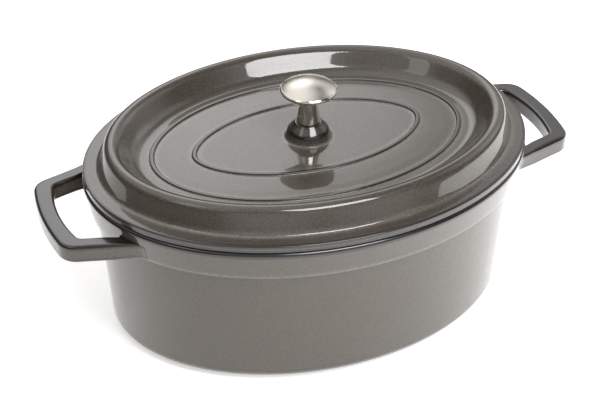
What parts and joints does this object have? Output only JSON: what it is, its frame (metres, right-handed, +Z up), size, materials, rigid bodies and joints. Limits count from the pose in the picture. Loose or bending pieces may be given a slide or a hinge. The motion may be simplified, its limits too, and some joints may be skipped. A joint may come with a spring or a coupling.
{
  "type": "oval cocotte",
  "caption": "Oval enamelled cast iron cooking pot with two loop handles and a ridged lid that lifts off by a round metal knob.",
  "frame": {"origin": "middle of the rest plane under the foot ring", "axes": "+X along the two handles, +Z up out of the pot"},
  "size_m": [0.362, 0.2276, 0.161],
  "materials": {
    "grey_enamel": "glossy graphite grey vitreous enamel",
    "nickel": "nickel plated, satin top and polished edge and stem",
    "steel": "plain"
  },
  "bodies": {
    "pot": {"pot": "grey_enamel"},
    "lid": {"lid": "grey_enamel", "knob": "nickel", "knob_washer": "steel", "knob_screw": "steel"}
  },
  "joints": [
    {"name": "lid_lift", "type": "slide", "parent": "pot", "child": "lid", "axis": [0, 0, 1], "range_m": [0, 0.16]}
  ]
}
